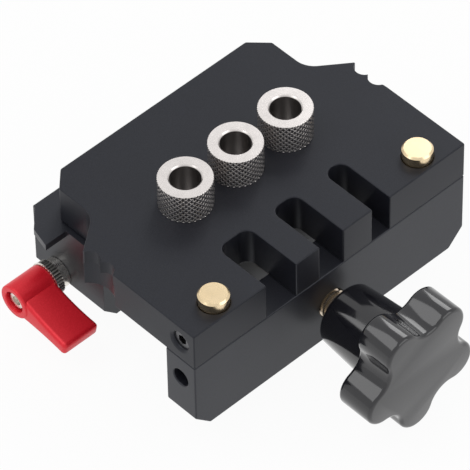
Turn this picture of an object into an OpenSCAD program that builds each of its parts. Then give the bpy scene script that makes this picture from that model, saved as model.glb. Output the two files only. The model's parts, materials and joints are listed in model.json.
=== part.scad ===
// Self centering doweling jig. Millimetres. The origin lies on the middle bush's axis
// at the underside of the guide plate; +Y points away from the star knob, +Z up.

/* [Guide plate] */
// Width of the plate and the fence
plate_w = 92.4; // [88:0.2:110]
// From the bush line to the front edge
plate_front = 33.9; // [32:0.1:42]
// From the bush line to the rear edge
plate_rear = 29.9; // [28:0.1:38]
// Thickness of the plate
plate_t = 11.6; // [10:0.2:16]
// Width of the plate at its waist
waist_w = 72.8; // [70:0.2:76]
// Where the waist starts, behind the bush line
waist_start = 5.7; // [4:0.1:8]
// Angle of the waist's shoulder
waist_angle = 36.7; // [30:0.1:42]
// Fillet at the foot of the shoulder
waist_fillet = 6.2; // [3:0.1:7]
// Chamfer at the rear corners
rear_chamfer = 4.8; // [2:0.1:5.5]

/* [Sighting slots and notches] */
// Distance between neighbouring bushes and slots
bush_pitch = 17; // [15.4:0.1:17.4]
// Widths of the three sighting slots, left to right
slot_widths = [10, 8, 6]; // [5:0.5:10]
// Where the slots end, in front of the bush line
slot_end = 16.6; // [15:0.1:20]
// Corner radius at a slot's end
slot_corner = 2.9; // [1:0.1:3]
// Radius of the finger notch in each side
notch_r = 6.9; // [5:0.1:8]
// Depth of that notch
notch_depth = 2.8; // [1.5:0.1:3.5]
// Height of the pointer above the notch
pointer_h = 4; // [2:0.1:6]
// Depth of the two scallops beside the pointer
scallop_depth = 2; // [1:0.1:2.6]
// Radius of a scallop
scallop_r = 2.8; // [2.7:0.1:3.6]
// How far the pointer's tip lies inside the side
pointer_inset = 0.5; // [0.2:0.1:1]

/* [Drill bushes] */
// Diameter of the knurled head
bush_head_d = 14.2; // [12:0.1:15]
// Height of the head above the plate
bush_head_h = 8.9; // [5:0.1:14]
// Bore for the drill
bush_bore_d = 8; // [4:0.5:9]
// Diameter of the shank in the plate
bush_shank_d = 11; // [10.4:0.1:11.6]
// Chamfer at the head's edges
bush_chamfer = 0.35; // [0.2:0.05:0.8]
// Chamfer at the mouth of the bore
bore_chamfer = 0.4; // [0.2:0.05:0.8]

/* [Fence and pins] */
// Thickness of the front fence
fence_t = 10.3; // [9.6:0.1:12]
// Height of the fence below the plate
fence_h = 23.4; // [22:0.1:34]
// Chamfer at the fence's lower corners
fence_chamfer = 4.8; // [2:0.1:6]
// Diameter of a brass pin
pin_d = 8; // [6:0.1:8.4]
// Distance from the middle to a pin
pin_x = 34.7; // [34.2:0.1:36]
// Distance from the front edge to the pins and screws
pin_inset = 5.2; // [5:0.05:5.6]
// Height of a pin above the plate
pin_above = 3.1; // [1:0.1:6]
// Depth of a pin in the fence
pin_in_fence = 6; // [4:0.1:10]
// Diameter of a set screw
set_screw_d = 5; // [4:0.5:6]
// Height of the set screws above the underside
set_screw_z = 6; // [4:0.1:7]
// Diameter of the tapped hole in each end of the fence
side_hole_d = 5; // [4:0.1:6]
// Depth of that hole
side_hole_depth = 6.5; // [4:0.1:7]
// How far that hole lies below the plate
side_hole_drop = 7.15; // [6:0.05:10]
// Distance from the middle to a fence screw
fence_screw_x = 26.3; // [25.6:0.1:26.6]
// Diameter of a fence screw
fence_screw_d = 5; // [4:0.5:5]
// Diameter of its head
fence_head_d = 8.5; // [7:0.1:9]
// Height of its head
fence_head_h = 5; // [3:0.1:6]
// How far it reaches into the plate
fence_screw_in = 8; // [5:0.1:9]

/* [Jaws] */
// Height of the gap between the jaws and the plate
jaw_gap = 0.3; // [0.2:0.05:0.5]
// Distance from the bush line to each jaw face as drawn
jaw_open = 8.5; // [6:0.1:10]
// Thickness of the front jaw
front_jaw_t = 6; // [5:0.1:7]
// Width of the front jaw
front_jaw_w = 64; // [61:0.5:68]
// Height of the front jaw
front_jaw_h = 18; // [17.4:0.1:22]
// Length of the rear jaw
rear_jaw_len = 25.4; // [24:0.1:30]
// Width of the rear jaw
rear_jaw_w = 75.6; // [74:0.2:78]
// How far the rear jaw reaches below the plate
rear_jaw_drop = 23.4; // [22:0.1:30]
// Chamfer at the rear jaw's lower corners
rear_jaw_chamfer = 4; // [1:0.1:5]
// Thickness of the ears
ear_t = 2; // [1:0.1:3]
// How far an ear stands out of the rear jaw
ear_out = 6.7; // [4:0.1:7]
// Length of an ear
ear_len = 12.1; // [10:0.1:13]

/* [T slots and keys] */
// Distance from the middle to a T slot
tslot_x = 27.2; // [27:0.05:27.4]
// Width of the slot's mouth
tslot_mouth = 4.4; // [3.6:0.1:4.8]
// Depth of the mouth
tslot_lip = 2.4; // [1.8:0.1:3]
// Width of the undercut
tslot_head_w = 7; // [6:0.1:7.2]
// Height of the undercut
tslot_head_h = 2.6; // [2:0.1:3.4]
// Play of a key in its slot, each side
key_play = 0.15; // [0.1:0.01:0.3]
// Length of a key
key_len = 5; // [3.6:0.1:6]
// Diameter of a key's shank
key_shank_d = 3; // [2:0.1:3.4]
// Depth of that shank in the jaw
key_shank_l = 7; // [4:0.1:9]

/* [Clamp screw] */
// Diameter of the screw
screw_d = 8; // [6:0.1:9]
// How far its axis lies below the plate
screw_drop = 11.7; // [10.6:0.1:12]
// Radial play of the screw in the fence
screw_play = 0.06; // [0.03:0.01:0.1]
// Diameter of the turned tip in the front jaw
tip_d = 6; // [4.5:0.1:6]
// Diameter of the groove for the retaining ring
groove_d = 5; // [3.6:0.1:5]
// Outer diameter of the retaining ring
ring_d = 9; // [8:0.1:10]
// Thickness of the retaining ring
ring_t = 1.2; // [0.8:0.1:1.4]
// Diameter of the recess round the ring
recess_d = 11; // [10.4:0.1:13]
// Depth of that recess
recess_depth = 2.6; // [2.2:0.1:3]

/* [Star knob] */
// Gap between the fence and the hub as drawn
knob_gap = 4; // [3.8:0.1:8]
// Diameter of the hub at its thin end
hub_d = 17.6; // [14:0.1:19]
// Diameter of the hub where it meets the lobes
hub_root_d = 20.4; // [18:0.1:24]
// Length of the hub
hub_len = 17; // [10:0.1:20]
// Rounding of the hub's end
hub_round = 1.6; // [0.5:0.1:2.5]
// Length of the lobes
lobe_len = 11; // [9:0.1:18]
// Number of lobes
lobes = 5; // [4:1:6]
// Radius to a lobe's tip
star_tip_r = 18.5; // [17:0.1:22]
// Radius of a lobe's tip
lobe_r = 5.6; // [5:0.1:6]
// Radius to the bottom of a hollow
hollow_floor_r = 13.1; // [12.6:0.1:14]
// Angle of the first lobe above the horizontal
lobe_turn = 47; // [0:1:72]
// Rounding of the star's edges
star_round = 1; // [0.4:0.1:1.6]
// Depth of the screw in the knob
screw_in_knob = 12; // [8:0.1:18]

/* [Lock lever] */
// Distance from the bush line to the lever's axis
lever_y = 25; // [22:0.1:26]
// How far that axis lies below the plate
lever_drop = 17.4; // [16:0.1:18]
// Diameter of the collar
collar_d = 11; // [8:0.1:13]
// Thickness of the collar
collar_t = 2.5; // [1:0.1:4]
// Diameter of the lever's hub
lever_hub_d = 12; // [10:0.1:14]
// Length of the lever's hub
lever_hub_l = 12.3; // [8:0.1:16]
// Reach of the wing from the axis
wing_reach = 18.8; // [14:0.1:19.5]
// Thickness of the wing at its tip
wing_t = 4.4; // [3:0.1:6]
// How much the wing thickens each side towards its root
wing_flare = 3; // [1:0.1:3.4]
// Width of the wing
wing_w = 10.5; // [6:0.1:12]
// How far the wing hangs below level
wing_tilt = 12; // [0:1:40]
// Diameter of the lever's stud
stud_d = 6; // [5:0.1:6.4]
// Diameter of the stud's head
stud_head_d = 6.6; // [6.4:0.1:8]
// Height of the stud's head
stud_head_h = 2.4; // [1.5:0.1:3]
// How deep the head sits in the hub
stud_head_in = 1.6; // [0.5:0.1:3]
// Gap round the head
stud_head_play = 0.7; // [0.2:0.1:1]
// Depth of the ridges round the collar
ridge_depth = 0.35; // [0.2:0.05:0.5]
// Diameter of the plunger that locks the jaw
plunger_d = 4; // [3:0.1:4.2]
// Distance from the middle to that plunger
plunger_x = 33; // [32.6:0.1:33.4]

/* [Hidden] */
$fn = 64;
eps = 0.01;
edge_steps = 4;        // steps in the star's rounded edge
fit = 0.03;            // a fixed pin in its hole, radial
run_fit = 0.06;        // a turning pin in its hole, radial
side_play = 0.1;       // between faces that turn on each other
half_w = plate_w / 2;
half_waist = waist_w / 2;
pin_y = -plate_front + pin_inset;
fence_rear = -plate_front + fence_t;
shoulder_y = waist_start + (half_w - half_waist) * tan(waist_angle);
turn = 90 - waist_angle;
fillet_run = waist_fillet * tan(turn / 2);
notch_x = half_w - notch_depth + notch_r;
scallop_x = half_w - scallop_depth + scallop_r;
scallop_y = sqrt(pow(scallop_r, 2) - pow(scallop_x - half_w + pointer_inset, 2));
jaw_top = -jaw_gap;
front_jaw_y = -jaw_open - front_jaw_t;
front_key_y = -jaw_open - front_jaw_t / 2;
rear_key_y = jaw_open + front_jaw_t / 2 + 1.5;
ring_y = -jaw_open - recess_depth + side_play;
hub_y = -plate_front - knob_gap;
star_y = hub_y - hub_len;
front_y = star_y - lobe_len;
lever_x0 = -rear_jaw_w / 2 - side_play;
collar_x = lever_x0 - 0.6;
hub_x0 = collar_x - collar_t;
hub_x1 = hub_x0 - lever_hub_l;
head_x = hub_x1 + stud_head_in;
stud_tip_x = -plunger_x + plunger_d / 2 - 0.5;
cone_start_x = -plunger_x - plunger_d / 2 - 0.5;
plunger_foot = -lever_drop + stud_d / 2 - 0.1;

// A cylinder along +Y from the given start.
module along_y(x, y, z, r, l) {
    translate([x, y, z]) rotate([-90, 0, 0]) cylinder(r = r, h = l);
}

// A cylinder along +X from the given start.
module along_x(x, y, z, r, l) {
    translate([x, y, z]) rotate([0, 90, 0]) cylinder(r = r, h = l);
}

// Points on an arc from angle a0 to a1, both ends included.
function arc(x, y, r, a0, a1, n) = [for (k = [0:n]) let (a = a0 + (a1 - a0) * k / n)
    [x + r * cos(a), y + r * sin(a)]];

// Right half of the plate's outline: straight side, shoulder, filleted waist, chamfer.
half_outline = concat([[half_w, -plate_front], [half_w, waist_start]],
    arc(half_waist + waist_fillet, shoulder_y + fillet_run, waist_fillet, 180 + turn, 180, 12),
    [[half_waist, plate_rear - rear_chamfer], [half_waist - rear_chamfer, plate_rear]]);

module plate_outline() {
    n = len(half_outline);
    polygon(concat(half_outline, [for (k = [1:n]) [-half_outline[n - k][0], half_outline[n - k][1]]]));
}

// A sighting slot, open to the front, with rounded corners at its end.
module sighting_slot(x, w) {
    r = min(slot_corner, w / 2 - 0.1);
    polygon(concat([[x - w / 2, -plate_front - 1], [x + w / 2, -plate_front - 1]],
        arc(x + w / 2 - r, -slot_end - r, r, 0, 90, 8), arc(x - w / 2 + r, -slot_end - r, r, 90, 180, 8)));
}

module t_slot(x) {
    len = plate_rear - fence_rear + 1;
    translate([x - tslot_mouth / 2, fence_rear, -1]) cube([tslot_mouth, len, tslot_lip + 1.5]);
    translate([x - tslot_head_w / 2, fence_rear, tslot_lip]) cube([tslot_head_w, len, tslot_head_h]);
}

module side_cuts() {
    translate([notch_x, 0, -1]) cylinder(r = notch_r, h = plate_t - pointer_h + 1);
    for (s = [-1, 1]) translate([scallop_x, s * scallop_y, plate_t - pointer_h])
        cylinder(r = scallop_r, h = pointer_h + 1);
    along_x(pin_x, pin_y, set_screw_z, set_screw_d / 2 + fit, half_w - pin_x + 1);
    translate([half_w - 0.6, pin_y, set_screw_z]) rotate([0, 90, 0])
        cylinder(r1 = set_screw_d / 2 + fit, r2 = set_screw_d / 2 + 1, h = 0.6 + eps);
}

module guide_plate() {
    color([0.16, 0.16, 0.17]) difference() {
        linear_extrude(plate_t) plate_outline();
        translate([0, 0, -1]) linear_extrude(plate_t + 2)
            for (i = [0:2]) sighting_slot((i - 1) * bush_pitch, slot_widths[i]);
        for (i = [-1:1]) translate([i * bush_pitch, 0, -1])
            cylinder(r = bush_shank_d / 2 + run_fit, h = plate_t + 2);
        for (s = [-1, 1]) {
            t_slot(s * tslot_x);
            translate([s * pin_x, pin_y, -1]) cylinder(r = pin_d / 2 + fit, h = plate_t + 2);
            translate([s * fence_screw_x, pin_y, -1])
                cylinder(r = fence_screw_d / 2 + fit, h = fence_screw_in + 1.5);
        }
        side_cuts();
        mirror([1, 0, 0]) side_cuts();
    }
}

module front_fence() {
    c = fence_chamfer;
    color([0.18, 0.18, 0.2]) difference() {
        translate([0, fence_rear, 0]) rotate([90, 0, 0]) linear_extrude(fence_t)
            polygon([[-half_w, 0], [-half_w, c - fence_h], [c - half_w, -fence_h],
                [half_w - c, -fence_h], [half_w, c - fence_h], [half_w, 0]]);
        along_y(0, -plate_front - 1, -screw_drop, screw_d / 2 + screw_play, fence_t + 2);
        for (s = [-1, 1]) {
            translate([s * pin_x, pin_y, -pin_in_fence]) cylinder(r = pin_d / 2 + fit, h = pin_in_fence + 1);
            translate([s * fence_screw_x, pin_y, -fence_h - 1])
                cylinder(r = fence_screw_d / 2 + fit, h = fence_h + 2);
            translate([s * fence_screw_x, pin_y, -fence_h - 1])
                cylinder(r = fence_head_d / 2 + 0.2, h = fence_head_h + 1.4);
        }
        along_x(half_w - side_hole_depth, pin_y, -side_hole_drop, side_hole_d / 2, side_hole_depth + 1);
        along_x(-half_w - 1, pin_y, -side_hole_drop, side_hole_d / 2, side_hole_depth + 1);
    }
}

module bush(i) {
    r = bush_head_d / 2;
    c = bush_chamfer;
    top = plate_t + bush_head_h;
    color([0.72, 0.73, 0.74]) translate([i * bush_pitch, 0, 0]) difference() {
        union() {
            cylinder(r = bush_shank_d / 2, h = plate_t + c);
            translate([0, 0, plate_t]) cylinder(r1 = r - c, r2 = r, h = c);
            translate([0, 0, plate_t + c]) cylinder(r = r, h = bush_head_h - 2 * c);
            translate([0, 0, top - c]) cylinder(r1 = r, r2 = r - c, h = c);
        }
        translate([0, 0, -1]) cylinder(r = bush_bore_d / 2, h = top + 2);
        translate([0, 0, top - bore_chamfer])
            cylinder(r1 = bush_bore_d / 2, r2 = bush_bore_d / 2 + bore_chamfer + eps, h = bore_chamfer + eps);
    }
}

module bush_left() { bush(-1); }
module bush_middle() { bush(0); }
module bush_right() { bush(1); }

module brass_pin(s) {
    top = plate_t + pin_above;
    color([0.83, 0.66, 0.3]) translate([s * pin_x, pin_y, 0]) {
        translate([0, 0, -pin_in_fence]) cylinder(r = pin_d / 2, h = top + pin_in_fence - 0.5);
        translate([0, 0, top - 0.5]) cylinder(r1 = pin_d / 2, r2 = pin_d / 2 - 0.5, h = 0.5);
    }
}

module pin_left() { brass_pin(-1); }
module pin_right() { brass_pin(1); }

module set_screw(s) {
    x0 = pin_x + pin_d / 2 + 0.1;
    l = half_w - 1 - x0;
    color([0.35, 0.35, 0.37]) translate([0, pin_y, set_screw_z]) rotate([0, s * 90, 0])
        translate([0, 0, x0]) difference() {
            cylinder(r = set_screw_d / 2, h = l);
            translate([0, 0, l - 2.2]) cylinder(r = set_screw_d * 0.29, h = 3, $fn = 6);
        }
}

module set_screw_left() { set_screw(-1); }
module set_screw_right() { set_screw(1); }

module fence_screw(s) {
    color([0.4, 0.4, 0.42]) translate([s * fence_screw_x, pin_y, 0]) difference() {
        union() {
            translate([0, 0, -fence_h + 0.4]) cylinder(r = fence_head_d / 2, h = fence_head_h);
            translate([0, 0, -fence_h + 0.4])
                cylinder(r = fence_screw_d / 2, h = fence_h - 0.4 + fence_screw_in);
        }
        translate([0, 0, -fence_h]) cylinder(r = fence_screw_d * 0.46, h = fence_head_h * 0.6, $fn = 6);
    }
}

module fence_screw_left() { fence_screw(-1); }
module fence_screw_right() { fence_screw(1); }

module key_hole(x, y) {
    translate([x, y, jaw_top - key_shank_l - 0.1]) cylinder(r = key_shank_d / 2 + fit, h = key_shank_l + 1);
}

module clamp_jaw() {
    c = 2;
    color([0.22, 0.22, 0.24]) difference() {
        translate([0, -jaw_open, jaw_top]) rotate([90, 0, 0]) linear_extrude(front_jaw_t)
            polygon([[-front_jaw_w / 2, 0], [-front_jaw_w / 2, c - front_jaw_h],
                [c - front_jaw_w / 2, -front_jaw_h], [front_jaw_w / 2 - c, -front_jaw_h],
                [front_jaw_w / 2, c - front_jaw_h], [front_jaw_w / 2, 0]]);
        along_y(0, front_jaw_y - 1, -screw_drop, tip_d / 2 + run_fit, front_jaw_t + 2);
        along_y(0, -jaw_open - recess_depth, -screw_drop, recess_d / 2, recess_depth + 1);
        for (s = [-1, 1]) key_hole(s * tslot_x, front_key_y);
    }
}

// A key: a T that hangs in the plate's slot, with a shank in the jaw.
module t_key(x, y) {
    neck = tslot_mouth - 2 * key_play;
    head = tslot_head_w - 2 * key_play;
    color([0.62, 0.63, 0.64]) translate([x, y, 0]) {
        translate([0, 0, jaw_top - key_shank_l]) cylinder(r = key_shank_d / 2, h = key_shank_l + 1);
        translate([-neck / 2, -key_len / 2, jaw_top]) cube([neck, key_len, tslot_lip + key_play - jaw_top + eps]);
        translate([-head / 2, -key_len / 2, tslot_lip + key_play])
            cube([head, key_len, tslot_head_h - 2 * key_play]);
    }
}

module front_key_left() { t_key(-tslot_x, front_key_y); }
module front_key_right() { t_key(tslot_x, front_key_y); }
module rear_key_left() { t_key(-tslot_x, rear_key_y); }
module rear_key_right() { t_key(tslot_x, rear_key_y); }

module clamp_screw() {
    y0 = hub_y - screw_in_knob;
    y1 = front_jaw_y - side_play;
    color([0.85, 0.7, 0.35]) {
        along_y(0, y0, -screw_drop, screw_d / 2, y1 - y0);
        along_y(0, y1 - eps, -screw_drop, tip_d / 2, ring_y - y1 + eps);
        along_y(0, ring_y - eps, -screw_drop, groove_d / 2, ring_t + 2 * eps);
        along_y(0, ring_y + ring_t, -screw_drop, tip_d / 2, 0.7);
    }
}

module retaining_ring() {
    color([0.3, 0.3, 0.32]) difference() {
        along_y(0, ring_y + 0.02, -screw_drop, ring_d / 2, ring_t - 0.04);
        along_y(0, ring_y - 1, -screw_drop, groove_d / 2 + 0.02, ring_t + 2);
        translate([-0.6, ring_y - 1, -screw_drop]) cube([1.2, ring_t + 2, ring_d]);
    }
}

// How far the rounded edge has drawn in at step k, counted from the full outline.
function edge_inset(k) = star_round * (1 - sqrt(1 - pow((k + 0.5) / edge_steps, 2)));

// The star: round tips and hollows whose arcs run into each other. A negative grow
// draws the outline smaller, for the rounded edges.
module star(grow) {
    step = 360 / lobes;
    tip_c = star_tip_r - lobe_r;
    c = cos(step / 2);
    hollow_r = (pow(hollow_floor_r, 2) + pow(tip_c, 2) - 2 * hollow_floor_r * tip_c * c
        - pow(lobe_r, 2)) / (2 * (lobe_r + tip_c * c - hollow_floor_r));
    hollow_c = hollow_floor_r + hollow_r;
    difference() {
        union() {
            polygon([for (i = [0:2 * lobes - 1]) let (a = lobe_turn + i * step / 2,
                q = i % 2 == 0 ? tip_c : hollow_c) [q * cos(a), q * sin(a)]]);
            for (i = [0:lobes - 1]) rotate(lobe_turn + i * step) translate([tip_c, 0]) circle(r = lobe_r + grow);
        }
        for (i = [0:lobes - 1]) rotate(lobe_turn + (i + 0.5) * step) translate([hollow_c, 0])
            circle(r = hollow_r - grow);
    }
}

module star_knob() {
    r = star_round;
    color([0.06, 0.06, 0.07]) translate([0, 0, -screw_drop]) difference() {
        union() {
            translate([0, hub_y, 0]) rotate([90, 0, 0]) rotate_extrude()
                polygon([[0, 0], [hub_d / 2 - hub_round, 0],
                    for (a = [15:15:75]) [hub_d / 2 - hub_round + hub_round * sin(a),
                        hub_round - hub_round * cos(a)],
                    [hub_d / 2, hub_round], [hub_root_d / 2, hub_len + 1], [0, hub_len + 1]]);
            translate([0, star_y, 0]) rotate([90, 0, 0]) {
                translate([0, 0, r]) linear_extrude(lobe_len - 2 * r) star(0);
                for (k = [0:edge_steps - 1]) let (z = r * (1 - k / edge_steps)) {
                    translate([0, 0, z - r / edge_steps]) linear_extrude(r / edge_steps + eps)
                        star(-edge_inset(k));
                    translate([0, 0, lobe_len - z - eps]) linear_extrude(r / edge_steps + eps)
                        star(-edge_inset(k));
                }
            }
        }
        translate([0, hub_y + 1, 0]) rotate([90, 0, 0])
            cylinder(r = screw_d / 2 + fit, h = screw_in_knob + 1.2);
    }
}

module ear() {
    x = rear_jaw_w / 2;
    y1 = jaw_open + rear_jaw_len;
    y0 = y1 - ear_len;
    polygon([[x - 4, y0], [x + ear_out, y0], [x + ear_out - 1.5, y1 - ear_len / 2],
        [x - 0.8, y1], [x - 4, y1]]);
}

module rear_jaw() {
    w = rear_jaw_w / 2;
    c = rear_jaw_chamfer;
    h = rear_jaw_drop - jaw_gap;
    color([0.2, 0.2, 0.22]) difference() {
        union() {
            translate([0, jaw_open + rear_jaw_len, jaw_top]) rotate([90, 0, 0])
                linear_extrude(rear_jaw_len) polygon([[-w, 0], [-w, c - h], [c - w, -h],
                    [w - c, -h], [w, c - h], [w, 0]]);
            translate([0, 0, jaw_top - ear_t]) linear_extrude(ear_t) {
                ear();
                mirror([1, 0]) ear();
            }
        }
        for (s = [-1, 1]) key_hole(s * tslot_x, rear_key_y);
        along_x(-w - 1, lever_y, -lever_drop, stud_d / 2 + run_fit, w + 1 + stud_tip_x + 0.5);
        translate([-plunger_x, lever_y, -lever_drop]) cylinder(r = plunger_d / 2 + run_fit, h = lever_drop + 1);
    }
}

module lock_plunger() {
    color([0.66, 0.67, 0.68]) translate([-plunger_x, lever_y, plunger_foot])
        cylinder(r = plunger_d / 2, h = jaw_top - plunger_foot);
}

module lever_stud() {
    r = stud_d / 2;
    start = head_x + stud_head_h;
    color([0.7, 0.71, 0.72]) translate([0, lever_y, -lever_drop]) rotate([0, 90, 0]) difference() {
        union() {
            translate([0, 0, head_x]) cylinder(r = stud_head_d / 2, h = stud_head_h);
            translate([0, 0, start - eps]) cylinder(r = r, h = cone_start_x - start + eps);
            translate([0, 0, cone_start_x]) cylinder(r1 = r - 0.2, r2 = r - 1.2, h = stud_tip_x - cone_start_x);
        }
        translate([0, 0, head_x - 1]) cylinder(r = 1.6, h = 2.6, $fn = 6);
    }
}

module lever_collar() {
    color([0.75, 0.76, 0.77]) difference() {
        translate([hub_x0, lever_y, -lever_drop]) rotate([0, 90, 0]) union() {
            linear_extrude(collar_t) rotate(3) ridged_collar();
            translate([0, 0, collar_t - eps]) cylinder(r = collar_d / 2 - 1.2, h = 0.6 + eps);
        }
        along_x(hub_x0 - 1, lever_y, -lever_drop, stud_d / 2 + fit, collar_t + 3);
    }
}

module ridged_collar() {
    n = 36;
    polygon([for (i = [0:2 * n - 1]) let (a = 180 * i / n,
        q = collar_d / 2 - (i % 2 == 0 ? 0 : ridge_depth)) [q * cos(a), q * sin(a)]]);
}

// The wing's side view: it thins in a curve from its root and ends in a round tip.
function wing_half(s) = wing_t / 2 + wing_flare * pow(1 - s, 2);

module wing_profile() {
    root = lever_hub_d / 4;
    run = wing_reach - wing_t / 2 - root;
    polygon(concat([for (k = [0:10]) [wing_half(k / 10), -root - run * k / 10]],
        [for (k = [1:7]) [wing_t / 2 * cos(k * 22.5), -root - run - wing_t / 2 * sin(k * 22.5)]],
        [for (k = [10:-1:0]) [-wing_half(k / 10), -root - run * k / 10]]));
}

module lock_lever() {
    head_r = stud_head_d / 2 + stud_head_play;
    color([0.75, 0.08, 0.1]) difference() {
        translate([0, lever_y, -lever_drop]) union() {
            translate([hub_x1, 0, 0]) rotate([0, 90, 0]) cylinder(r = lever_hub_d / 2, h = lever_hub_l);
            translate([hub_x0 - 0.8, 0, 0]) rotate([wing_tilt, 0, 0]) rotate([0, -90, 0])
                linear_extrude(wing_w) wing_profile();
        }
        along_x(hub_x1 - 1, lever_y, -lever_drop, stud_d / 2 + fit, lever_hub_l + 3);
        along_x(hub_x1 - 1, lever_y, -lever_drop, head_r, stud_head_in + stud_head_h + 1);
    }
}

guide_plate();
front_fence();
bush_left();
bush_middle();
bush_right();
pin_left();
pin_right();
set_screw_left();
set_screw_right();
fence_screw_left();
fence_screw_right();
clamp_jaw();
front_key_left();
front_key_right();
clamp_screw();
retaining_ring();
star_knob();
rear_jaw();
rear_key_left();
rear_key_right();
lock_plunger();
lever_stud();
lever_collar();
lock_lever();
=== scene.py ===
import bpy
import bmesh
import json
import math
from mathutils import Matrix, Vector


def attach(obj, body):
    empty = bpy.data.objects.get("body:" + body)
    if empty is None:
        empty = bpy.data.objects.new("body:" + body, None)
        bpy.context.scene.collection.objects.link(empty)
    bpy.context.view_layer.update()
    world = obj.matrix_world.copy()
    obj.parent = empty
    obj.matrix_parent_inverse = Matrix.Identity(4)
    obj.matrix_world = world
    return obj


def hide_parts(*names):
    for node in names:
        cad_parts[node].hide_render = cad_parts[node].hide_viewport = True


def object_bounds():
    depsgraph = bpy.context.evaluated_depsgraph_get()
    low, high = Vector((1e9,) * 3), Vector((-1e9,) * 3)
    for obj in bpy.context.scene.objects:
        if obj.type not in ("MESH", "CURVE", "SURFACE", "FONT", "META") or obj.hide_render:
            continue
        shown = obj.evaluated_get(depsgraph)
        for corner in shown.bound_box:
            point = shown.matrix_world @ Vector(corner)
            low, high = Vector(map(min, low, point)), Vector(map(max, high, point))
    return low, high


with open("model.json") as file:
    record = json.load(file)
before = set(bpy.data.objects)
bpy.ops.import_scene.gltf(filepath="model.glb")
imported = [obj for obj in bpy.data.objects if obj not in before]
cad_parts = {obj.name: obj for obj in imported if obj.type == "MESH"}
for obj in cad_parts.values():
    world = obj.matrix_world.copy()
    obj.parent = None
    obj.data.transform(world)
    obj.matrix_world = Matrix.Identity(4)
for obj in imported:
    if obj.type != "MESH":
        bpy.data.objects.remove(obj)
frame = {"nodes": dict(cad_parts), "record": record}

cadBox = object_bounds()
mm = 0.001
record = frame["record"]
nodes = frame["nodes"]
slotOf = {part["node"]: part["material_slot"] for part in record["subparts"]}
fullTurn = 2 * math.pi


class Value:
    # an output socket; sums and products on it add Math nodes
    def __init__(self, graph, socket):
        self.graph = graph
        self.socket = socket

    def math(self, operation, first, second, clamp=False):
        return self.graph.node("ShaderNodeMath", {"operation": operation, "use_clamp": clamp},
            {0: first, 1: second})

    def also(self, name):
        # another output of the same node
        return Value(self.graph, self.socket.node.outputs[name])

    def __add__(self, other):
        return self.math("ADD", self, other)

    def __radd__(self, other):
        return self.math("ADD", other, self)

    def __sub__(self, other):
        return self.math("SUBTRACT", self, other)

    def __mul__(self, other):
        return self.math("MULTIPLY", self, other)

    def clamped(self):
        return self.math("MULTIPLY", self, 1.0, True)


class Graph:
    # a node tree; every node that isn't there from the start comes from one method
    def __init__(self, tree):
        self.tree = tree

    def link(self, value, socket):
        if isinstance(value, Value):
            self.tree.links.new(value.socket, socket)
        else:
            socket.default_value = value

    def node(self, kind, settings, inputs, output=0):
        made = self.tree.nodes.new(kind)
        for key, value in settings.items():
            if key == "stops":
                for element, (place, shade) in zip(made.color_ramp.elements, value):
                    element.position = place
                    element.color = shade
            else:
                setattr(made, key, value)
        for key, value in inputs.items():
            self.link(value, made.inputs[key])
        return Value(self, made.outputs[output])


class Shader(Graph):
    def __init__(self, name):
        self.material = bpy.data.materials.new(name)
        self.material.use_nodes = True
        super().__init__(self.material.node_tree)
        self.surface = self.tree.nodes["Principled BSDF"]
        self.place = self.node("ShaderNodeTexCoord", {}, {}, "Object")

    def noise(self, scale, detail=3.0, roughness=0.55, where=None):
        return self.node("ShaderNodeTexNoise", {}, {"Vector": where or self.place, "Scale": scale,
            "Detail": detail, "Roughness": roughness})

    def stretched(self, x, y, z):
        return self.node("ShaderNodeMapping", {}, {"Vector": self.place, "Scale": (x, y, z)})

    def ramp(self, factor, stops):
        return self.node("ShaderNodeValToRGB", {"stops": stops}, {"Fac": factor})

    def mix(self, factor, first, second):
        # 6, 7 and 2 are the colour sockets of a Mix node
        return self.node("ShaderNodeMix", {"data_type": "RGBA"},
            {"Factor": factor, 6: first, 7: second}, 2)

    def bump(self, height, strength, distance):
        return self.node("ShaderNodeBump", {}, {"Height": height, "Strength": strength,
            "Distance": distance}, "Normal")

    def finish(self, **sockets):
        for name, value in sockets.items():
            self.link(value, self.surface.inputs[name.replace("_", " ")])
        return self.material


# Finishes. Each maker has its own patterns, and each finish its colours and gloss.

anodised = {
    "grainDetail": 2.0, "grainRough": 0.7, "cloudScale": 45.0,
    "speckStops": [(0.42, (0, 0, 0, 1)), (0.72, (1, 1, 1.04, 1))],
    "cloudShare": 0.10, "grainShare": 0.12, "bumpDistance": 0.06 * mm,
}
steel = {
    "lineScale": 900.0, "lineDetail": 2.0, "lineRough": 0.6, "cloudScale": 130.0, "cloudGain": 0.9,
    "lineShare": 0.16, "bump": 0.12, "bumpDistance": 0.03 * mm,
}
# the groove entries set where painted shade starts in the knurl and how fast it deepens; grooveShare
# adds roughness there
knurled = {
    "cloudScale": 160.0, "ringScale": 500.0, "ringDetail": 2.0, "grooveFrom": 0.22, "grooveGain": 2.4,
    "ringShare": 0.10, "grooveShare": 0.20, "bump": 0.02, "bumpDistance": 0.02 * mm,
}
plastic = {
    "cloudScale": 70.0, "scuffScale": 600.0, "scuffDetail": 2.0, "scuffShare": 0.05, "coat": 0.6,
    "coatRoughness": 0.06, "ior": 1.5, "bump": 0.05, "bumpDistance": 0.1 * mm,
}


def anodisedFinish(name, settings):
    shader = Shader(name)
    grain = shader.noise(settings["grainScale"], anodised["grainDetail"], anodised["grainRough"])
    cloud = shader.noise(anodised["cloudScale"])
    speck = shader.ramp(grain, anodised["speckStops"])
    colour = shader.mix(speck, settings["dark"], settings["light"])
    rough = (settings["roughness"] + (cloud - 0.5) * anodised["cloudShare"]
        + (grain - 0.5) * anodised["grainShare"])
    return shader.finish(Base_Color=colour, Metallic=settings["metallic"], Roughness=rough,
        Specular_IOR_Level=settings["specular"], Specular_Tint=settings["tint"],
        Normal=shader.bump(grain, settings["bump"], anodised["bumpDistance"]))


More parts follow.
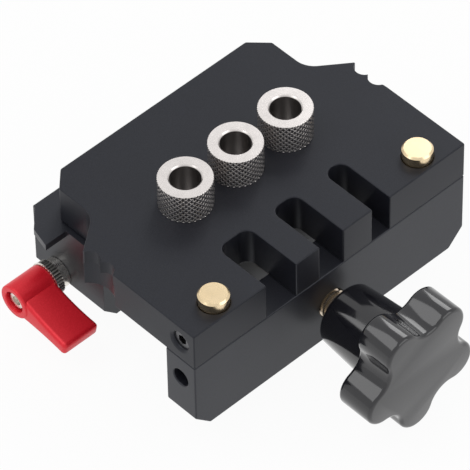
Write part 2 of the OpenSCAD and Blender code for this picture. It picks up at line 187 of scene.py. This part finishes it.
def steelFinish(name, settings):
    shader = Shader(name)
    lines = shader.noise(steel["lineScale"], steel["lineDetail"], steel["lineRough"],
        shader.stretched(*settings["brush"]))
    cloud = shader.noise(steel["cloudScale"])
    colour = shader.mix((cloud * steel["cloudGain"]).clamped(), settings["dark"], settings["light"])
    rough = settings["roughness"] + (lines - 0.5) * steel["lineShare"]
    return shader.finish(Base_Color=colour, Metallic=1.0, Roughness=rough,
        Normal=shader.bump(lines, steel["bump"], steel["bumpDistance"]))


def knurledFinish(name, settings):
    # bright turned faces; the piece's own attribute darkens the bottoms of the knurl and the bore with
    # painted shade
    shader = Shader(name)
    depth = shader.node("ShaderNodeAttribute", {"attribute_name": "knurlDepth"}, {}, "Fac")
    cloud = shader.noise(knurled["cloudScale"])
    rings = shader.noise(knurled["ringScale"], knurled["ringDetail"])
    bright = shader.mix(cloud, settings["dark"], settings["light"])
    # painted shade: the deeper the knurl cut or the bore's value, the more the dark colour replaces the
    # bright steel
    groove = ((depth - knurled["grooveFrom"]) * knurled["grooveGain"]).clamped()
    colour = shader.mix(groove, bright, settings["groove"])
    rough = (settings["roughness"] + (rings - 0.5) * knurled["ringShare"]
        + depth * knurled["grooveShare"])
    return shader.finish(Base_Color=colour, Metallic=1.0, Roughness=rough,
        Normal=shader.bump(rings, knurled["bump"], knurled["bumpDistance"]))


def plasticFinish(name, settings):
    shader = Shader(name)
    cloud = shader.noise(plastic["cloudScale"])
    scuffs = shader.noise(plastic["scuffScale"], plastic["scuffDetail"])
    colour = shader.mix(cloud, settings["dark"], settings["light"])
    rough = settings["roughness"] + (scuffs - 0.5) * plastic["scuffShare"]
    return shader.finish(Base_Color=colour, Roughness=rough, IOR=plastic["ior"],
        Coat_Weight=plastic["coat"], Coat_Roughness=plastic["coatRoughness"],
        Normal=shader.bump(cloud, plastic["bump"], plastic["bumpDistance"]))


finishes = {
    "anodised_black": anodisedFinish("plateBlack", {"dark": (0.0070, 0.0074, 0.0110, 1),
        "light": (0.0155, 0.0160, 0.0220, 1), "tint": (0.88, 0.92, 1.0, 1), "grainScale": 3600.0,
        "roughness": 0.44, "metallic": 0.0, "specular": 0.35, "bump": 0.25}),
    "fence_black": anodisedFinish("fenceBlack", {"dark": (0.0095, 0.0098, 0.0140, 1),
        "light": (0.0205, 0.0210, 0.0285, 1), "tint": (0.88, 0.92, 1.0, 1), "grainScale": 3000.0,
        "roughness": 0.38, "metallic": 0.0, "specular": 0.43, "bump": 0.15}),
    # the steel finishes' groove colours are painted shade for knurl bottoms and bores
    "bush_steel": knurledFinish("bushSteel", {"dark": (0.70, 0.66, 0.64, 1),
        "light": (0.86, 0.82, 0.80, 1), "groove": (0.030, 0.026, 0.026, 1), "roughness": 0.24}),
    "pin_brass": steelFinish("pinBrass", {"dark": (0.85, 0.66, 0.40, 1),
        "light": (0.93, 0.76, 0.51, 1), "roughness": 0.24, "brush": (1, 0.1, 1)}),
    "hardware_steel": steelFinish("hardwareSteel", {"dark": (0.08, 0.08, 0.085, 1),
        "light": (0.20, 0.20, 0.21, 1), "roughness": 0.34, "brush": (0.2, 1, 1)}),
    "screw_zinc": steelFinish("screwZinc", {"dark": (0.50, 0.41, 0.31, 1),
        "light": (0.84, 0.74, 0.61, 1), "roughness": 0.24, "brush": (1, 0.2, 1)}),
    "knob_plastic": plasticFinish("knobPlastic", {"dark": (0.006, 0.006, 0.008, 1),
        "light": (0.011, 0.011, 0.015, 1), "roughness": 0.14}),
    "lever_red": anodisedFinish("leverRed", {"dark": (0.80, 0.012, 0.026, 1),
        "light": (0.88, 0.020, 0.040, 1), "tint": (1, 1, 1, 1), "grainScale": 2600.0,
        "roughness": 0.36, "metallic": 0.25, "specular": 0.5, "bump": 0.02}),
    "lever_steel": knurledFinish("leverSteel", {"dark": (0.70, 0.67, 0.62, 1),
        "light": (0.90, 0.87, 0.81, 1), "groove": (0.22, 0.21, 0.20, 1), "roughness": 0.26}),
}
print("finishes made:", len(finishes))

for name, node in nodes.items():
    node.data.materials.clear()
    node.data.materials.append(finishes[slotOf[name]])
print("solids dressed:", len(nodes))


# Mesh helpers

sameSpot = 0.001 * mm


def asObject(mesh, name):
    data = bpy.data.meshes.new(name)
    mesh.to_mesh(data)
    mesh.free()
    made = bpy.data.objects.new(name, data)
    bpy.context.scene.collection.objects.link(made)
    return made


def asPiece(mesh, name, body, slotName, *standsFor):
    piece = asObject(mesh, name)
    piece.data.materials.append(finishes[slotName])
    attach(piece, body)
    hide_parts(*standsFor)
    return piece


def addShell(mesh, shell):
    holder = bpy.data.meshes.new("holder")
    shell.to_mesh(holder)
    shell.free()
    mesh.from_mesh(holder)
    bpy.data.meshes.remove(holder)


def shadeByAngle(mesh, degrees):
    limit = math.radians(degrees)
    for face in mesh.faces:
        face.smooth = True
    for edge in mesh.edges:
        if len(edge.link_faces) == 2 and edge.calc_face_angle(0.0) > limit:
            edge.smooth = False


def roundEdges(mesh, edges, width, segments, clamp=True):
    bmesh.ops.bevel(mesh, geom=edges, offset=width, offset_type="OFFSET", segments=segments,
        profile=0.5, affect="EDGES", material=-1, clamp_overlap=clamp)


def drawLine(mesh, points, closed):
    line = [mesh.verts.new(point) for point in points]
    following = line[1:] + line[:1] if closed else line[1:]
    return line + [mesh.edges.new(pair) for pair in zip(line, following)]


def spun(points, axis, steps, closed=True):
    # a new mesh from a line of points turned once round an axis through the origin
    mesh = bmesh.new()
    bmesh.ops.spin(mesh, geom=drawLine(mesh, points, closed), cent=(0, 0, 0), axis=axis,
        dvec=(0, 0, 0), angle=fullTurn, steps=steps, use_merge=True)
    bmesh.ops.remove_doubles(mesh, verts=mesh.verts, dist=sameSpot)
    if not closed:
        bmesh.ops.holes_fill(mesh, edges=mesh.edges, sides=0)
    bmesh.ops.recalc_face_normals(mesh, faces=mesh.faces)
    return mesh


def movedVerts(extruded):
    return [item for item in extruded["geom"] if isinstance(item, bmesh.types.BMVert)]


def ridge(value):
    # 1 on a ridge line, 0 halfway to the next one
    return abs(2 * (value % 1.0) - 1)


# Machined pieces: the solids with their edges broken

machining = {"segments": 2, "shadeAngle": 50, "sharpAngle": 38, "weight": 80,
    "sameSpot": 0.002 * mm, "flatAngle": 0.5, "shortest": 0.3 * mm}
notchZone = {"beyondX": 42.5 * mm, "withinY": 8 * mm}  # the pointers' fine edges stay as they are
edgeBreaks = {
    "guide_plate": {"body": "base", "name": "guidePlate", "width": 0.38 * mm, "clamp": False},
    "front_fence": {"body": "base", "name": "frontFence", "width": 0.4 * mm, "clamp": False},
    "rear_jaw": {"body": "rear_jaw_body", "name": "rearJaw", "width": 0.3 * mm, "clamp": True},
    "clamp_jaw": {"body": "front_jaw_body", "name": "frontJaw", "width": 0.25 * mm, "clamp": True},
}


def inNotch(edge):
    return all(abs(vert.co.x) > notchZone["beyondX"] and abs(vert.co.y) < notchZone["withinY"]
        for vert in edge.verts)


def isBroken(edge):
    return (len(edge.link_faces) == 2 and edge.calc_length() > machining["shortest"]
        and not inNotch(edge) and edge.calc_face_angle(0.0) > math.radians(machining["sharpAngle"]))


for nodeName, wanted in edgeBreaks.items():
    mesh = bmesh.new()
    mesh.from_mesh(nodes[nodeName].data)
    bmesh.ops.remove_doubles(mesh, verts=mesh.verts, dist=machining["sameSpot"])
    bmesh.ops.dissolve_limit(mesh, angle_limit=math.radians(machining["flatAngle"]),
        verts=mesh.verts, edges=mesh.edges)
    roundEdges(mesh, [edge for edge in mesh.edges if isBroken(edge)], wanted["width"],
        machining["segments"], wanted["clamp"])
    shadeByAngle(mesh, machining["shadeAngle"])
    piece = asPiece(mesh, wanted["name"], wanted["body"], slotOf[nodeName], nodeName)
    weigh = piece.modifiers.new("evenFaces", "WEIGHTED_NORMAL")
    weigh.weight = machining["weight"]
    weigh.keep_sharp = True
print("edges broken:", len(edgeBreaks))


# Drill bushes with a diamond knurl

bush = {
    "pitch": 17 * mm, "plateTop": 11.6 * mm, "headHeight": 8.9 * mm, "headRadius": 7.1 * mm,
    "shankRadius": 5.5 * mm, "boreRadius": 4.0 * mm, "edge": 0.15 * mm, "boreEdge": 0.4 * mm,
    "diamonds": 30, "diamondHeight": 1.5 * mm, "knurlDepth": 0.3 * mm, "finePerDiamond": 8,
    "boreShade": 0.45, "shadeAngle": 32,
}
headBottom, headTop = bush["plateTop"], bush["plateTop"] + bush["headHeight"]
rowHeight = bush["diamondHeight"] / bush["finePerDiamond"]
rows = int(round((bush["headHeight"] - 2 * bush["edge"]) / rowHeight))
bushProfile = [(bush["boreRadius"], 0), (bush["shankRadius"], 0), (bush["shankRadius"], headBottom),
    (bush["headRadius"] - bush["edge"], headBottom)]
bushProfile += [(bush["headRadius"], headBottom + bush["edge"] + k * rowHeight)
    for k in range(rows + 1)]
bushProfile += [(bush["headRadius"] - bush["edge"], headTop),
    (bush["boreRadius"] + bush["boreEdge"], headTop), (bush["boreRadius"], headTop - bush["boreEdge"])]

for place, side in ((-1, "left"), (0, "middle"), (1, "right")):
    mesh = spun([(x, 0, z) for x, z in bushProfile], (0, 0, 1),
        bush["diamonds"] * bush["finePerDiamond"])
    # knurlDepth holds each knurl vertex's cut depth, which the finish turns into painted shade in the
    # grooves
    layer = mesh.verts.layers.float.new("knurlDepth")
    for vert in mesh.verts:
        flat = Vector((vert.co.x, vert.co.y))
        height = vert.co.z - headBottom - bush["edge"]
        onHead = flat.length > bush["headRadius"] - sameSpot
        if onHead and -sameSpot < height < rows * rowHeight + sameSpot:
            turn = math.atan2(flat.y, flat.x) / fullTurn * bush["diamonds"]
            climb = height / bush["diamondHeight"]
            cut = 1 - max(ridge(turn + climb), ridge(turn - climb))
            vert[layer] = cut
            vert.co.xy = flat * (1 - cut * bush["knurlDepth"] / bush["headRadius"])
        # the bore gets boreShade, a fixed value that paints shade into it
        elif flat.length < bush["boreRadius"] + sameSpot:
            vert[layer] = bush["boreShade"]
    bmesh.ops.translate(mesh, vec=(place * bush["pitch"], 0, 0), verts=mesh.verts)
    shadeByAngle(mesh, bush["shadeAngle"])
    asPiece(mesh, side + "Bush", "bush_" + side + "_body", "bush_steel", "bush_" + side)
print("drill bushes made")


# Star knob: the lobes from an outline, the hub from a profile

knob = {
    "axisDrop": 11.7 * mm, "hubStart": -37.9 * mm, "hubLength": 17 * mm, "lobeLength": 11 * mm,
    "hubRadius": 8.8 * mm, "hubRootRadius": 10.2 * mm, "hubRound": 1.6 * mm, "hubRoundSteps": 6,
    "hubOverlap": 0.5 * mm, "boreRadius": 4.03 * mm, "boreEdge": 0.3 * mm, "boreDepth": 3.0 * mm,
    "lobes": 5, "tipRadius": 18.5 * mm, "lobeRadius": 5.6 * mm, "hollowFloor": 13.1 * mm,
    "edgeRound": 1.0 * mm, "edgeSegments": 5, "outlineSteps": 240, "hubSteps": 96,
    "firstLobe": 47, "shadeAngle": 40,
}


def starReach(angle):
    # distance from the axis to the outline: tip arcs and hollow arcs that run into each other
    step = fullTurn / knob["lobes"]
    floor, lobe, c = knob["hollowFloor"], knob["lobeRadius"], math.cos(step / 2)
    tip = knob["tipRadius"] - lobe
    hollow = ((floor ** 2 + tip ** 2 - 2 * floor * tip * c - lobe ** 2)
        / (2 * (lobe + tip * c - floor)))
    centre = floor + hollow
    tipPoint, hollowPoint = Vector((tip, 0)), Vector((centre * c, centre * math.sin(step / 2)))
    meet = tipPoint.lerp(hollowPoint, lobe / (lobe + hollow))
    bend = math.atan2(meet.y, meet.x)
    off = abs((angle - math.radians(knob["firstLobe"]) + step / 2) % step - step / 2)
    if off <= bend:
        return tip * math.cos(off) + math.sqrt(lobe ** 2 - (tip * math.sin(off)) ** 2)
    side = step / 2 - off
    return centre * math.cos(side) - math.sqrt(hollow ** 2 - (centre * math.sin(side)) ** 2)


mesh = bmesh.new()
disc = bmesh.ops.create_circle(mesh, cap_ends=True, segments=knob["outlineSteps"], radius=1.0)
for vert in disc["verts"]:
    vert.co *= starReach(math.atan2(vert.co.y, vert.co.x)) / vert.co.length
pushed = bmesh.ops.extrude_face_region(mesh, geom=mesh.faces[:])
bmesh.ops.translate(mesh, vec=(0, 0, knob["lobeLength"]), verts=movedVerts(pushed))
bmesh.ops.recalc_face_normals(mesh, faces=mesh.faces)
rims = [edge for edge in mesh.edges if abs(edge.verts[0].co.z - edge.verts[1].co.z) < sameSpot]
roundEdges(mesh, rims, knob["edgeRound"], knob["edgeSegments"])
bmesh.ops.transform(mesh, verts=mesh.verts, matrix=
    Matrix.Translation((0, knob["hubStart"] - knob["hubLength"], -knob["axisDrop"]))
    @ Matrix.Rotation(math.pi / 2, 4, "X"))

flatRadius = knob["hubRadius"] - knob["hubRound"]
hubProfile = [(knob["boreRadius"], -knob["boreDepth"]), (knob["boreRadius"], knob["boreEdge"]),
    (knob["boreRadius"] + knob["boreEdge"], 0.0), (flatRadius, 0.0)]
for k in range(1, knob["hubRoundSteps"] + 1):
    angle = math.pi / 2 * k / knob["hubRoundSteps"]
    hubProfile.append((flatRadius + knob["hubRound"] * math.sin(angle),
        knob["hubRound"] * (math.cos(angle) - 1)))
hubProfile.append((knob["hubRootRadius"], -knob["hubLength"] - knob["hubOverlap"]))
hub = spun([(x, knob["hubStart"] + y, 0) for x, y in hubProfile], (0, 1, 0), knob["hubSteps"], False)
bmesh.ops.translate(hub, vec=(0, 0, -knob["axisDrop"]), verts=hub.verts)
addShell(mesh, hub)
shadeByAngle(mesh, knob["shadeAngle"])
asPiece(mesh, "starKnob", "knob_body", "knob_plastic", "star_knob")
print("star knob made")


# Lock lever: hub, wing, stud and knurled collar

lever = {
    "axisY": 25 * mm, "axisZ": -17.4 * mm, "outerEnd": -53.3 * mm, "innerEnd": -42.7 * mm,
    "hubRadius": 4.8 * mm, "boreRadius": 3.05 * mm, "rimRound": 0.5 * mm, "rimSteps": 6,
    "boreBreak": 0.25 * mm, "hubSteps": 96, "wingStart": -42.5 * mm, "wingWidth": 10.5 * mm,
    "wingRoot": 2.6 * mm, "wingReach": 18.8 * mm, "tipHalf": 2.0 * mm, "flare": 1.7 * mm,
    "tipWiden": 0.9 * mm, "edgeRound": 1.3 * mm, "edgeSegments": 6, "sharpAngle": 38, "tilt": 12,
    "steps": 12, "shadeAngle": 35,
}
stud = {
    "headEnd": -52.3 * mm, "headStart": -50.0 * mm, "headRadius": 2.45 * mm, "radius": 3.0 * mm,
    "coneStart": -35.5 * mm, "tip": -31.5 * mm, "tipRadius": 1.8 * mm, "edge": 0.2 * mm,
    "socketRadius": 1.35 * mm, "socketDepth": 1.3 * mm, "steps": 48,
}
collar = {
    "start": -40.2 * mm, "end": -42.7 * mm, "bossEnd": -37.9 * mm, "bossRadius": 4.2 * mm,
    "flangeRadius": 5.0 * mm, "flange": 0.45 * mm, "radius": 4.85 * mm, "boreRadius": 3.03 * mm,
    "teeth": 34, "toothDepth": 0.4 * mm, "stepsPerTooth": 6, "edge": 0.15 * mm, "shadeAngle": 32,
}


def spunAlongX(profile, steps):
    # profile: closed line of (radius, x) pairs, turned round the X axis
    return spun([(x, 0, radius) for radius, x in profile], (1, 0, 0), steps)


def leverPiece(mesh, degrees, name, slotName, nodeName):
    bmesh.ops.translate(mesh, vec=(0, lever["axisY"], lever["axisZ"]), verts=mesh.verts)
    shadeByAngle(mesh, degrees)
    asPiece(mesh, name, "lever_body", slotName, nodeName)


wing = bmesh.new()
run = lever["wingReach"] - lever["wingRoot"]
upper = [(lever["wingRoot"] + run * k / lever["steps"],
    lever["tipHalf"] + lever["flare"] * (1 - k / lever["steps"]) ** 2)
    for k in range(lever["steps"] + 1)]
outline = upper + [(reach, -half) for reach, half in reversed(upper)]
side = wing.faces.new([wing.verts.new((lever["wingStart"], -reach, half)) for reach, half in outline])
pushed = bmesh.ops.extrude_face_region(wing, geom=[side], use_keep_orig=True)
bmesh.ops.translate(wing, vec=(-lever["wingWidth"], 0, 0), verts=movedVerts(pushed))
for vert in side.verts:
    vert.co.x += lever["tipWiden"] * ((-vert.co.y - lever["wingRoot"]) / run) ** 2
bmesh.ops.recalc_face_normals(wing, faces=wing.faces)
sharpEdges = [edge for edge in wing.edges
    if edge.calc_face_angle(0.0) > math.radians(lever["sharpAngle"])]
roundEdges(wing, sharpEdges, lever["edgeRound"], lever["edgeSegments"])
bmesh.ops.rotate(wing, cent=(0, 0, 0), matrix=Matrix.Rotation(math.radians(lever["tilt"]), 3, "X"),
    verts=wing.verts)

rim = []
for k in range(lever["rimSteps"] + 1):
    angle = math.pi / 2 * k / lever["rimSteps"]
    rim.append((lever["hubRadius"] - lever["rimRound"] * (1 - math.sin(angle)),
        lever["outerEnd"] + lever["rimRound"] * (1 - math.cos(angle))))
leverProfile = [(lever["boreRadius"], lever["outerEnd"] + lever["boreBreak"]),
    (lever["boreRadius"] + lever["boreBreak"], lever["outerEnd"])]
leverProfile += rim + [(radius, lever["outerEnd"] + lever["innerEnd"] - x)
    for radius, x in reversed(rim)]
leverProfile += [(lever["boreRadius"], lever["innerEnd"])]
mesh = spunAlongX(leverProfile, lever["hubSteps"])
addShell(mesh, wing)
leverPiece(mesh, lever["shadeAngle"], "lockLever", "lever_red", "lock_lever")

mesh = spunAlongX([(stud["socketRadius"], stud["headEnd"] + stud["socketDepth"]),
    (stud["socketRadius"], stud["headEnd"]), (stud["headRadius"] - stud["edge"], stud["headEnd"]),
    (stud["headRadius"], stud["headEnd"] + stud["edge"]), (stud["headRadius"], stud["headStart"]),
    (stud["radius"], stud["headStart"]), (stud["radius"], stud["coneStart"]),
    (stud["tipRadius"], stud["tip"]), (0.0, stud["tip"]),
    (0.0, stud["headEnd"] + stud["socketDepth"])], stud["steps"])
leverPiece(mesh, lever["shadeAngle"], "leverStud", "lever_steel", "lever_stud")

mesh = spunAlongX([(collar["boreRadius"], collar["end"]),
    (collar["flangeRadius"] - collar["edge"], collar["end"]),
    (collar["flangeRadius"], collar["end"] + collar["edge"]),
    (collar["flangeRadius"], collar["end"] + collar["flange"]),
    (collar["radius"], collar["end"] + collar["flange"]), (collar["radius"], collar["start"]),
    (collar["bossRadius"], collar["start"]), (collar["bossRadius"], collar["bossEnd"]),
    (collar["boreRadius"], collar["bossEnd"])], collar["teeth"] * collar["stepsPerTooth"])
# knurlDepth holds each tooth's cut depth, which the finish turns into painted shade between the teeth
layer = mesh.verts.layers.float.new("knurlDepth")
for vert in mesh.verts:
    flat = Vector((vert.co.y, vert.co.z))
    if abs(flat.length - collar["radius"]) < 2 * sameSpot:
        cut = 1 - ridge(math.atan2(flat.y, flat.x) / fullTurn * collar["teeth"])
        vert[layer] = cut
        vert.co.yz = flat * (1 - cut * collar["toothDepth"] / collar["radius"])
leverPiece(mesh, collar["shadeAngle"], "leverCollar", "lever_steel", "lever_collar")
print("lock lever made")


# Clamp screw: a real thread, swept as a helix and cut off square at both ends

screw = {
    "axisDrop": 11.7 * mm, "radius": 4.0 * mm, "pitch": 1.25 * mm, "depth": 0.68 * mm,
    "start": -49.9 * mm, "end": -14.6 * mm, "tipRadius": 3.0 * mm, "grooveRadius": 2.5 * mm,
    "grooveStart": -11.0 * mm, "grooveEnd": -9.8 * mm, "tipEnd": -9.1 * mm, "stepsPerTurn": 32,
    "spareTurns": 2, "segments": 64, "tipOverlap": 0.4 * mm, "grooveOverlap": 0.2 * mm,
    "sameSpot": 0.003 * mm, "shadeAngle": 25,
}


def addCylinder(mesh, radius, start, end):
    made = bmesh.ops.create_cone(mesh, cap_ends=True, segments=screw["segments"], radius1=radius,
        radius2=radius, depth=end - start)
    turned = (Matrix.Translation((0, (start + end) / 2, 0))
        @ Matrix.Rotation(-math.pi / 2, 4, "X"))
    bmesh.ops.transform(mesh, matrix=turned, verts=made["verts"])


mesh = bmesh.new()
turns = math.ceil((screw["end"] - screw["start"]) / screw["pitch"]) + screw["spareTurns"]
root, crest = screw["radius"] - screw["depth"], screw["radius"]
rise = [(root, 0.0), (root, 0.12), (crest, 0.46), (crest, 0.66), (root, 1.0)]
threadLine = drawLine(mesh, [(x, screw["start"] + (y - 1) * screw["pitch"], 0) for x, y in rise], False)
bmesh.ops.spin(mesh, geom=threadLine, cent=(0, 0, 0), axis=(0, 1, 0),
    dvec=(0, screw["pitch"] / screw["stepsPerTurn"], 0), angle=fullTurn * turns,
    steps=screw["stepsPerTurn"] * turns)
bmesh.ops.remove_doubles(mesh, verts=mesh.verts, dist=screw["sameSpot"])
for place, outer in ((screw["start"], False), (screw["end"], True)):
    bmesh.ops.bisect_plane(mesh, geom=mesh.verts[:] + mesh.edges[:] + mesh.faces[:], dist=1e-7,
        plane_co=(0, place, 0), plane_no=(0, 1, 0), clear_outer=outer, clear_inner=not outer)
bmesh.ops.remove_doubles(mesh, verts=mesh.verts, dist=screw["sameSpot"])
bmesh.ops.holes_fill(mesh, edges=[edge for edge in mesh.edges if edge.is_boundary], sides=0)
bmesh.ops.recalc_face_normals(mesh, faces=mesh.faces)
addCylinder(mesh, screw["tipRadius"], screw["end"] - screw["tipOverlap"], screw["grooveStart"])
addCylinder(mesh, screw["grooveRadius"], screw["grooveStart"] - screw["grooveOverlap"],
    screw["grooveEnd"] + screw["grooveOverlap"])
addCylinder(mesh, screw["tipRadius"], screw["grooveEnd"], screw["tipEnd"])
bmesh.ops.translate(mesh, vec=(0, 0, -screw["axisDrop"]), verts=mesh.verts)
shadeByAngle(mesh, screw["shadeAngle"])
asPiece(mesh, "clampScrew", "knob_body", "screw_zinc", "clamp_screw")
print("clamp screw made")


# Floor and world, both plain white to the camera and in reflections

stage = {"floorGap": 0.2 * mm, "floorSize": 3.0, "floorColour": (0.86, 0.86, 0.86, 1),
    "floorRoughness": 0.9, "glowShare": 0.95, "worldStrength": 0.55}
low, high = cadBox
mesh = bmesh.new()
bmesh.ops.create_grid(mesh, x_segments=1, y_segments=1, size=stage["floorSize"])
bmesh.ops.translate(mesh, vec=(0, 0, low[2] - stage["floorGap"]), verts=mesh.verts)
floor = asObject(mesh, "floor")
shader = Shader("floorWhite")
seen = shader.node("ShaderNodeLightPath", {}, {}, "Is Camera Ray")
direct = seen + seen.also("Is Glossy Ray") + seen.also("Is Transmission Ray")
shader.finish(Base_Color=stage["floorColour"], Roughness=stage["floorRoughness"])
glow = shader.node("ShaderNodeEmission", {}, {"Color": (1, 1, 1, 1), "Strength": 1.0})
mixed = shader.node("ShaderNodeMixShader", {}, {0: (direct * stage["glowShare"]).clamped(),
    1: Value(shader, shader.surface.outputs[0]), 2: glow})
shader.link(mixed, shader.tree.nodes["Material Output"].inputs["Surface"])
floor.data.materials.append(shader.material)

world = bpy.data.worlds.new("studio")
bpy.context.scene.world = world
world.use_nodes = True
studio = Graph(world.node_tree)
back = studio.tree.nodes["Background"]
studio.link((1, 1, 1, 1), back.inputs["Color"])
studio.link(stage["worldStrength"], back.inputs["Strength"])
seen = studio.node("ShaderNodeLightPath", {}, {}, "Is Camera Ray")
direct = seen.math("MAXIMUM", seen, seen.also("Is Glossy Ray"))
direct = direct.math("MAXIMUM", direct, seen.also("Is Transmission Ray"))
plain = studio.node("ShaderNodeBackground", {}, {"Strength": 1.0})
mixed = studio.node("ShaderNodeMixShader", {}, {0: direct, 1: Value(studio, back.outputs[0]), 2: plain})
studio.link(mixed, studio.tree.nodes["World Output"].inputs["Surface"])

lamps = {
    "keyLamp": {"from": (-0.6, 0.35, 1.1), "size": 1.0, "power": 5.0},
    "frontLamp": {"from": (0.4, -1.0, 0.5), "size": 0.8, "power": 2.2},
    "rimLamp": {"from": (0.9, 0.4, 0.8), "size": 0.5, "power": 2.4},
}
for name, lamp in lamps.items():
    light = bpy.data.lights.new(name, "AREA")
    light.size = lamp["size"]
    light.energy = lamp["power"]
    holder = bpy.data.objects.new(name, light)
    bpy.context.scene.collection.objects.link(holder)
    spot = Vector(lamp["from"])
    holder.matrix_world = (Matrix.Translation(spot)
        @ spot.to_track_quat("Z", "Y").to_matrix().to_4x4())

# The photograph's camera, fitted to points of the plate; across and up place the plate's corner.
view = {
    "azimuth": -42.636, "elevation": 47.468, "roll": -1.1626, "focal": 5205.97, "frame": 470,
    "across": -9.908 * mm, "up": -24.764 * mm, "distance": 1250.36 * mm,
    "corner": (-46.2 * mm, -33.9 * mm, 11.6 * mm), "sensor": 36, "clip": (0.05, 20),
}
azimuth, elevation, roll = (math.radians(view[key]) for key in ("azimuth", "elevation", "roll"))
away = Vector((math.sin(azimuth) * math.cos(elevation), -math.cos(azimuth) * math.cos(elevation),
    math.sin(elevation)))
right = Vector((0, 0, 1)).cross(away).normalized()
upward = away.cross(right)
rightRolled = right * math.cos(roll) + upward * math.sin(roll)
upRolled = upward * math.cos(roll) - right * math.sin(roll)
turned = Matrix((rightRolled, upRolled, away)).transposed().to_4x4()
spot = (Vector(view["corner"]) - rightRolled * view["across"] - upRolled * view["up"]
    + away * view["distance"])
lens = bpy.data.cameras.new("photoCamera")
lens.sensor_width = view["sensor"]
lens.lens = view["focal"] / view["frame"] * view["sensor"]
lens.clip_start, lens.clip_end = view["clip"]
camera = bpy.data.objects.new("photoCamera", lens)
bpy.context.scene.collection.objects.link(camera)
camera.matrix_world = Matrix.Translation(spot) @ turned
bpy.context.scene.camera = camera
bpy.context.scene.view_settings.view_transform = "Standard"
print("stage, lamps and camera set")
